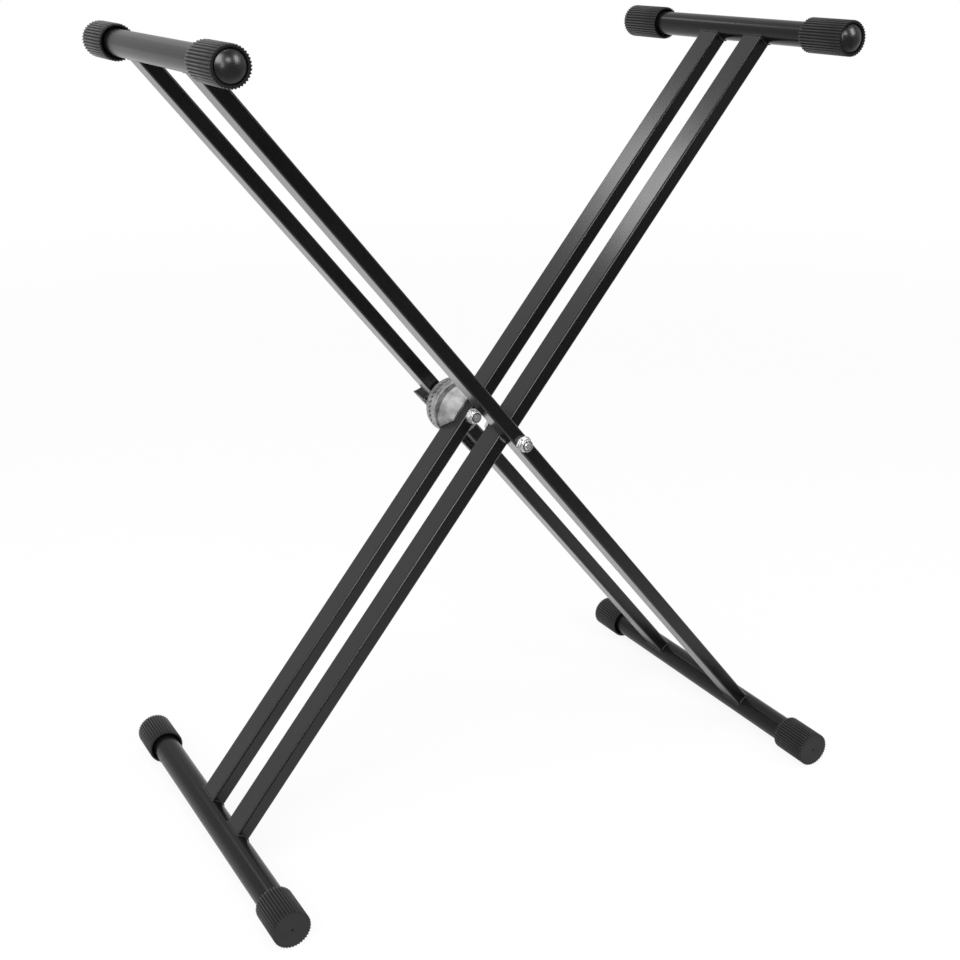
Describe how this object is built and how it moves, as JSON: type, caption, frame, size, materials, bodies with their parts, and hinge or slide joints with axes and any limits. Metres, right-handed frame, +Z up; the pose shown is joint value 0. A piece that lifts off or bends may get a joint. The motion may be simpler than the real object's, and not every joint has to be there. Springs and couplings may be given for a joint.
{
  "type": "folding keyboard stand",
  "caption": "Folding double-X stand for a keyboard: two crossing tube frames on a lever-released tooth clutch, with round cross tubes in ribbed rubber ends.",
  "frame": {"origin": "on the floor, straight below the pivot axis and midway between the ends of the tubes", "axes": "+Z up; +X from the outer frame's top tube to the inner frame's top tube; +Y along the tubes, towards the release lever"},
  "size_m": [0.6776, 0.4206, 0.8204],
  "materials": {
    "frame_paint": "satin black powder coat",
    "lever_paint": "satin black paint on folded sheet",
    "ribbed_rubber": "matte black moulded rubber",
    "plug_plastic": "glossy black moulding",
    "cast_metal": "blotchy light grey casting",
    "bright_zinc": "bright zinc plate",
    "plain_steel": "turned steel",
    "spring_steel": "oiled spring wire"
  },
  "bodies": {
    "outer_frame": {"clutch_bolt": "bright_zinc", "clutch_nut": "bright_zinc", "clutch_washer": "bright_zinc", "lever_pin": "bright_zinc", "near_bolt": "bright_zinc", "near_nut": "bright_zinc", "near_spacer": "plain_steel", "near_washer": "bright_zinc", "outer_base_cap_far": "ribbed_rubber", "outer_base_cap_near": "ribbed_rubber", "outer_base_tube": "frame_paint", "outer_brace_far": "frame_paint", "outer_brace_near": "frame_paint", "outer_bush_near": "plain_steel", "outer_top_plug_far": "plug_plastic", "outer_top_plug_near": "plug_plastic", "outer_top_sleeve_far": "ribbed_rubber", "outer_top_sleeve_near": "ribbed_rubber", "outer_top_tube": "frame_paint"},
    "inner_frame": {"clutch_half_inner": "cast_metal", "inner_base_cap_far": "ribbed_rubber", "inner_base_cap_near": "ribbed_rubber", "inner_base_tube": "frame_paint", "inner_brace_far": "frame_paint", "inner_brace_near": "frame_paint", "inner_bush_far": "plain_steel", "inner_bush_near": "plain_steel", "inner_top_plug_far": "plug_plastic", "inner_top_plug_near": "plug_plastic", "inner_top_sleeve_far": "ribbed_rubber", "inner_top_sleeve_near": "ribbed_rubber", "inner_top_tube": "frame_paint"},
    "clutch_slider": {"clutch_half_outer": "cast_metal", "pressure_sleeve": "plain_steel", "cam_plate": "plain_steel", "clutch_spring": "spring_steel"},
    "lever": {"release_lever": "lever_paint"}
  },
  "joints": [
    {"name": "frame_fold", "type": "hinge", "parent": "outer_frame", "child": "inner_frame", "pos_m": [0, 0, 0.41103], "axis": [0, 1, 0], "range_deg": [-73.5, 70]},
    {"name": "lever_lift", "type": "hinge", "parent": "outer_frame", "child": "lever", "pos_m": [0, 0.10515, 0.41103], "axis": [0.7749, 0, 0.632], "range_deg": [0, 40], "stiffness_Nm_per_rad": 0.6, "springref_deg": -11.46},
    {"name": "clutch_release", "type": "slide", "parent": "outer_frame", "child": "clutch_slider", "axis": [0, 1, 0], "range_m": [0, 0.0024]}
  ],
  "couplings": [
    {"joint": "clutch_release", "follows": "lever_lift", "m_per_rad": 0.0034377}
  ]
}
